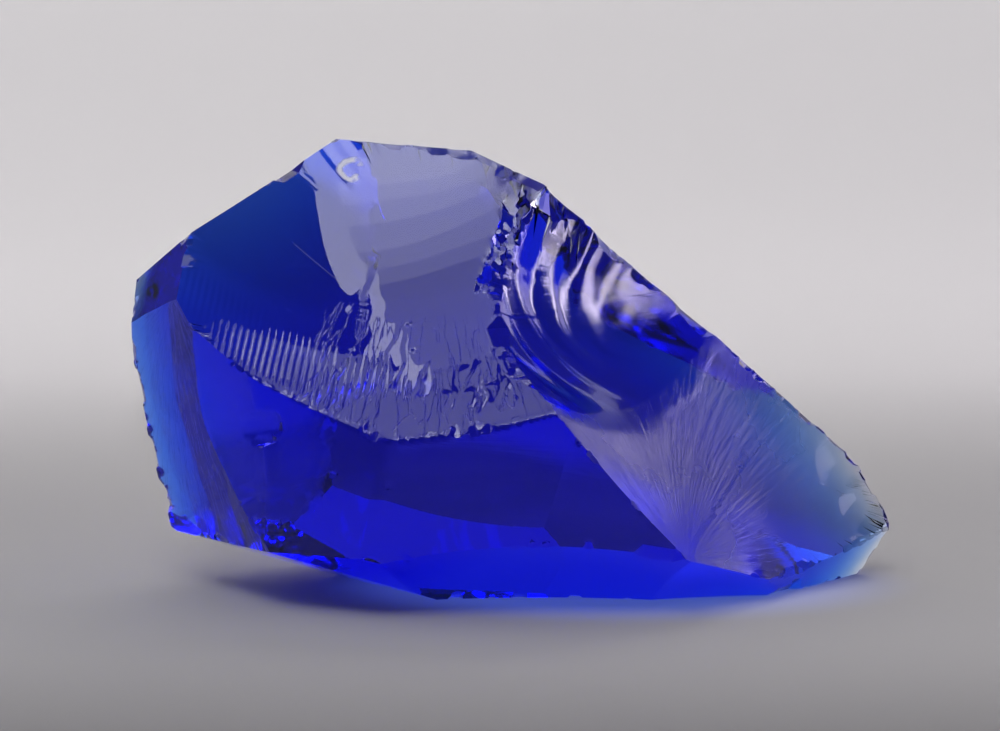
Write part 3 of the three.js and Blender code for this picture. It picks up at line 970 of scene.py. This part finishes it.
# %% Hair lines and patches
HAIR_SCALE, LINE_SCALE = (3.5, 0.3, 1.0), (2.8, 0.26, 1.0)
LINE_WIDTH = 0.055
PATCHES_PER_METRE, GRAINS_PER_METRE = 160.0, 1500.0
glass, paint = new_material("cobalt_glass")
crack_map = paint.node("UVMap", {"uv_map": "crack"})
haze_map = paint.node("Attribute", {"attribute_name": "haze"}, output="Fac")
lines_map = paint.node("Attribute", {"attribute_name": "lines"}, output="Fac")
hairs = paint.streaks(crack_map, HAIR_SCALE, detail=3.0)
line = paint.between(abs(paint.streaks(crack_map, LINE_SCALE, detail=2.0) * 2 - 1), LINE_WIDTH, 0.0)
place = paint.node("TexCoord", output="Object")
patches = paint.noise(place, PATCHES_PER_METRE, detail=4.0)
grains = paint.noise(place, GRAINS_PER_METRE, detail=3.0)

# %% Ripples, bruise and scratch
RIPPLE_PITCH, RIPPLE_SWAY = 0.34, 6
# The bruise is a ragged ring that the grains push in and out. It is open on one side.
RING_RADIUS, RING_RAGGED = 0.9, 0.7
RING_OUTSIDE, RING_INSIDE = 0.26, 0.06
RING_LEAN, RING_OPEN, RING_CLOSED = 0.35, 0.3, 0.5
SCRATCH_WIDTH, SCRATCH_MIDDLE, SCRATCH_NONE, SCRATCH_FULL = 0.035, 2.08, 2.1, 1.5
across, ripple_band = paint.face_map("ripple")
wave = (across * (2 * math.pi / RIPPLE_PITCH) + patches * RIPPLE_SWAY).math("SINE") * ripple_band
from_x, from_y = paint.face_map("bruise")
ring = abs((from_x**2 + from_y**2) ** 0.5 + grains * RING_RAGGED - RING_RADIUS)
ring = paint.between(ring, RING_OUTSIDE, RING_INSIDE)
ring = ring * paint.between(grains - from_x * RING_LEAN, RING_OPEN, RING_CLOSED)
scratch_run, scratch_side = paint.face_map("scratch")
scratch_line = paint.between(abs(scratch_side), SCRATCH_WIDTH, 0.0)
scratch_line = scratch_line * paint.between(abs(scratch_run - SCRATCH_MIDDLE), SCRATCH_NONE, SCRATCH_FULL)

# %% Glass and crushed glass
CLEAR_TONE, CRUSHED_TONE = (0.97, 0.98, 1.0, 1.0), (0.88, 0.88, 0.92, 1.0)
PASSED_COLOUR, ABSORPTION_PER_METRE = (0.012, 0.46, 0.984, 1.0), 880.0
GLASS_IOR = 1.5
POLISH, HAZE_ROUGHNESS, CRUSHED_ROUGHNESS = 0.012, 1.3, 0.5
HAIR_HEIGHT, HAIR_LEAST, LINE_DEPTH, RIPPLE_HEIGHT = 1.3, 0.003, 1.3, 0.45
BUMP_STRENGTH, BUMP_METRES = 0.6, 0.00003
RING_SHARE, SCRATCH_SHARE = 0.9, 0.12
breath = haze_map * patches * patches
height = hairs * (haze_map * HAIR_HEIGHT + HAIR_LEAST) - line * lines_map * LINE_DEPTH + wave * RIPPLE_HEIGHT
bump = paint.node("Bump", None, {"Strength": BUMP_STRENGTH, "Distance": BUMP_METRES, "Height": height})
surface = paint.node(
    "BsdfPrincipled",
    None,
    {
        "Base Color": CLEAR_TONE,
        "Roughness": breath * HAZE_ROUGHNESS + POLISH,
        "IOR": GLASS_IOR,
        "Transmission Weight": 1.0,
        "Normal": bump,
    },
)
crushed = paint.node(
    "BsdfPrincipled", None, {"Base Color": CRUSHED_TONE, "Roughness": CRUSHED_ROUGHNESS}
)
marks = ring * RING_SHARE + scratch_line * SCRATCH_SHARE
marked = paint.node("MixShader", None, {0: marks, 1: surface, 2: crushed})
inside = paint.node("VolumeAbsorption", None, {"Color": PASSED_COLOUR, "Density": ABSORPTION_PER_METRE})
paint.node("OutputMaterial", None, {"Surface": marked, "Volume": inside})
mesh.materials.append(glass)
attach(lump, "root")
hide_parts("glass")
print("glass nodes:", len(glass.node_tree.nodes))

# %% [markdown]
# ## Studio
# The lump stands on a pale sheet that curves up behind it, so floor and background are one soft tone. The sheet is a
# profile carried sideways: level floor, a quarter circle, then an upright wall. Glass mirrors the floor before it and
# shows the floor behind it, so shade is painted into the sheet's tone: it darkens near the camera, and a painted shadow
# lies in a soft patch that the lump hides. A faint blue glow under the lump is painted light, which stands for the
# light that falls through the glass.

# %% Floor and background
FLOOR_DROP = 0.03
SHEET_WIDTH = 320.0
FLOOR_NEAR = 420.0
FLOOR_FAR = 70.0
BEND = 110.0
WALL = 420.0
BEND_STEPS, ACROSS_STEPS = 24, 9
bend_turn = np.linspace(0, np.pi / 2, BEND_STEPS)
y = np.concatenate([[-FLOOR_NEAR], FLOOR_FAR + BEND * np.sin(bend_turn), [FLOOR_FAR + BEND]])
z = np.concatenate([[0.0], BEND * (1 - np.cos(bend_turn)), [BEND + WALL]]) - FLOOR_DROP
x = np.linspace(-SHEET_WIDTH / 2, SHEET_WIDTH / 2, ACROSS_STEPS)
grid = np.stack(np.broadcast_arrays(x[:, None], y[None], z[None]), axis=-1).reshape(-1, 3)
i, j = np.mgrid[0 : len(x) - 1, 0 : len(y) - 1]
start = i * len(y) + j
sheet_faces = np.stack([start, start + len(y), start + len(y) + 1, start + 1], axis=-1).reshape(-1, 4)
sheet_mesh = bpy.data.meshes.new("studio_sheet")
sheet_mesh.from_pydata(grid * MM, [], sheet_faces.tolist())
sheet_mesh.shade_smooth()
sheet = bpy.data.objects.new("studio_sheet", sheet_mesh)
bpy.context.scene.collection.objects.link(sheet)

# %% Tones of the sheet
# Painted shade: the dark tone of the sheet near the camera, also used for the painted shadow behind the lump.
NEAR_SHADE_TONE = (0.11, 0.108, 0.11, 1.0)
FLOOR_TONE = (0.34, 0.333, 0.335, 1.0)
WALL_TONE = (0.74, 0.722, 0.726, 1.0)
# Painted light: the blue of the glow under the lump.
GLOW_TONE = (0.12, 0.2, 0.8, 1.0)
BLACK = (0.0, 0.0, 0.0, 1.0)
# Where the painted shade near the camera turns into the floor's tone, and the floor's into the wall's, in metres from
# the lump.
NEAR_SHADE_TO_FLOOR, FLOOR_TO_WALL = (-0.045, -0.01), (0.015, 0.11)
# Middle and radii of the two round patches, in metres: a painted shadow behind the lump and a painted blue glow under
# it.
SHADE_PATCH, SHADE_SHARE = (-0.006, 0.06, 0.0225, 0.045), 0.66
GLOW_PATCH, GLOW_STRENGTH = (0.005, 0.0, 0.016, 0.0095), 0.35
PATCH_CORE = 0.55
MATT = 0.9
pale, paint = new_material("pale_sheet")
place = paint.node("TexCoord", output="Object")
back = paint.node("SeparateXYZ", None, {"Vector": place}, output="Y")


def round_patch(x, y, wide, deep):
    """1 in the middle of an oval patch of the floor, 0 from its outline on, with these two radii."""
    aside = paint.node("VectorMath", {"operation": "SUBTRACT"}, {0: place, 1: (x, y, 0.0)})
    aside = paint.node("VectorMath", {"operation": "DIVIDE"}, {0: aside, 1: (wide, deep, 1.0)})
    away = paint.node("VectorMath", {"operation": "LENGTH"}, {0: aside}, output="Value")
    return paint.between(away, 1.0, PATCH_CORE)


# Painted shade: the sheet darkens towards the camera.
tone = paint.blend(paint.between(back, *NEAR_SHADE_TO_FLOOR), NEAR_SHADE_TONE, FLOOR_TONE)
tone = paint.blend(paint.between(back, *FLOOR_TO_WALL), tone, WALL_TONE)
# Painted shadow of the lump: a soft dark patch on the floor behind it, hidden from the camera by the lump.
tone = paint.blend(round_patch(*SHADE_PATCH) * SHADE_SHARE, tone, NEAR_SHADE_TONE)
# Painted light: a faint blue glow of emission under the lump, for the light that falls through the glass.
glow = paint.blend(round_patch(*GLOW_PATCH), BLACK, GLOW_TONE)
finish = {"Base Color": tone, "Roughness": MATT, "Emission Color": glow, "Emission Strength": GLOW_STRENGTH}
matt = paint.node("BsdfPrincipled", None, finish)
paint.node("OutputMaterial", None, {"Surface": matt})
sheet_mesh.materials.append(pale)

# %% [markdown]
# ## Light
# Glass shows its light sources as reflections, so their places matter more than their strength. The ceiling is made of
# panels. The great scar is hollow and mirrors them as a lavender sheen, stronger towards the ledge, with the ceiling's
# turned edge as the border of the dark triangle. Small cards close by pick out the ribs, low walls light the slope and
# the tip, and a lamp lights the background. The near side of the sheet stays dim, through painted shade in its tone.


# %% Soft boxes
def soft_box(name, azimuth, elevation, distance, width, height, radiance, at=HEART, spread=180, tint=(1.0, 1.0, 1.0)):
    """An area light that looks at a place, from azimuth 0 on the camera's side or 90 on the right. Its power is its
    radiance times pi times its area."""
    light = bpy.data.lights.new(name, "AREA")
    light.shape = "RECTANGLE"
    light.size = width * MM
    light.size_y = height * MM
    light.spread = math.radians(spread)
    light.color = tint
    light.energy = radiance * math.pi * light.size * light.size_y
    box = bpy.data.objects.new(name, light)
    turn, lift = math.radians(azimuth), math.radians(elevation)
    out = np.array([math.sin(turn) * math.cos(lift), -math.cos(turn) * math.cos(lift), math.sin(lift)])
    box.location = (at + distance * out) * MM
    box.rotation_euler = (math.pi / 2 - lift, 0, turn)
    bpy.context.scene.collection.objects.link(box)
    return box


# %% Ceiling
CEILING = 1000.0
PIVOT = (-0.022, -0.1)
TURN = math.radians(12.3)
# The front is cut into strips: their edges from near to far, and the radiance of each.
FRONT_EDGES = (-0.85, -0.52, -0.46, -0.4, -0.34, -0.28, -0.22, 0.12)
FRONT_RADIANCE = (6.6, 5.7, 4.8, 3.9, 3.1, 2.4, 1.6)
FRONT_STRIPS = zip(FRONT_EDGES, FRONT_EDGES[1:], FRONT_RADIANCE)
# Left, right, near and far side as shares of the ceiling's height, radiance, and turn about the pivot.
CEILING_PANELS = [("front_ceiling", -0.5, -0.085, *strip, TURN) for strip in FRONT_STRIPS] + [
    ("middle_strip", -0.085, -0.022, -0.85, 0.12, 4.8, TURN),
    ("left_ceiling", -1.2, -0.5, -0.36, 0.12, 1.7, TURN),
    ("right_ceiling", -0.03, 0.2, -0.05, 0.12, 1.3, 0.0),
    ("far_ceiling", -1.2, 0.2, 0.12, 0.7, 1.3, 0.0),
]
for name, left, right, near, far_side, radiance, turn in CEILING_PANELS:
    panel = soft_box(name, 0, 90, CEILING, CEILING * (right - left), CEILING * (far_side - near), radiance)
    dx, dy = (left + right) / 2 - PIVOT[0], (near + far_side) / 2 - PIVOT[1]
    panel.location.x = CEILING * MM * (PIVOT[0] + dx * math.cos(turn) - dy * math.sin(turn))
    panel.location.y = CEILING * MM * (PIVOT[1] + dx * math.sin(turn) + dy * math.cos(turn))
    panel.rotation_euler = (0, 0, turn)

# %% Cards, lamp, walls and room
LILAC = (1.0, 0.88, 1.06)
# Area lights with a narrow spread keep their power, so the rib cards need little of it.
CARDS_ROUND = (44, 57, 70, 83, 96)
CARD = {"elevation": 29, "distance": 30, "width": 6.8, "height": 8, "radiance": 0.27, "spread": 26, "tint": LILAC}
CARDS_LOOK_AT = corner(0.12, 0.05, 0.7)
LAMP = {"width": 320, "height": 120, "radiance": 4.25, "spread": 100}
LAMP_AT, LAMP_TILT = (0, 0.03, 0.3), math.radians(72)
WALLS_AWAY = 1000.0
WALLS = [
    # Azimuth, elevation, width, height and radiance.
    ("left_wall", -95, 12, 700, 400, 1.0),
    ("right_wall", 86, 28, 900, 400, 0.6),
    ("low_right_wall", 91, 22, 560, 300, 1.8),
    ("back_right_wall", 122, 18.5, 560, 300, 2.3),
]
ROOM_TONE, ROOM_STRENGTH = (0.95, 0.97, 1.0, 1.0), 0.13
for azimuth in CARDS_ROUND:
    soft_box("rib_card", azimuth, at=CARDS_LOOK_AT, **CARD)
lamp = soft_box("wall_lamp", 0, 0, 0, **LAMP)
lamp.location = LAMP_AT
lamp.rotation_euler = (LAMP_TILT, 0, 0)
for name, azimuth, elevation, width, height, radiance in WALLS:
    soft_box(name, azimuth, elevation, WALLS_AWAY, width, height, radiance, tint=LILAC)
world = bpy.data.worlds.new("studio_room")
world.use_nodes = True
world.node_tree.nodes["Background"].inputs["Color"].default_value = ROOM_TONE
world.node_tree.nodes["Background"].inputs["Strength"].default_value = ROOM_STRENGTH
bpy.context.scene.world = world
bpy.context.scene.view_settings.view_transform = "Standard"

# %% [markdown]
# ## Camera
# The photo looks at the lump from a little above table height, through a long lens, so edges that run away from the
# camera hardly shorten.

# %% Camera
LENS = 100.0
SENSOR = 36.0
VIEW_WIDTH = 50.0
LOOK_AT = np.array([-0.82, -1.2, 11.35])
LIFT = math.radians(8.0)
distance = VIEW_WIDTH * LENS / SENSOR
camera_data = bpy.data.cameras.new("camera")
camera_data.lens = LENS
camera_data.sensor_width = SENSOR
camera_data.clip_start = 0.005
camera = bpy.data.objects.new("camera", camera_data)
camera.location = (LOOK_AT + distance * np.array([0, -math.cos(LIFT), math.sin(LIFT)])) * MM
camera.rotation_euler = (math.pi / 2 - LIFT, 0, 0)
bpy.context.scene.collection.objects.link(camera)
bpy.context.scene.camera = camera
print("camera distance in millimetres:", round(distance, 1))
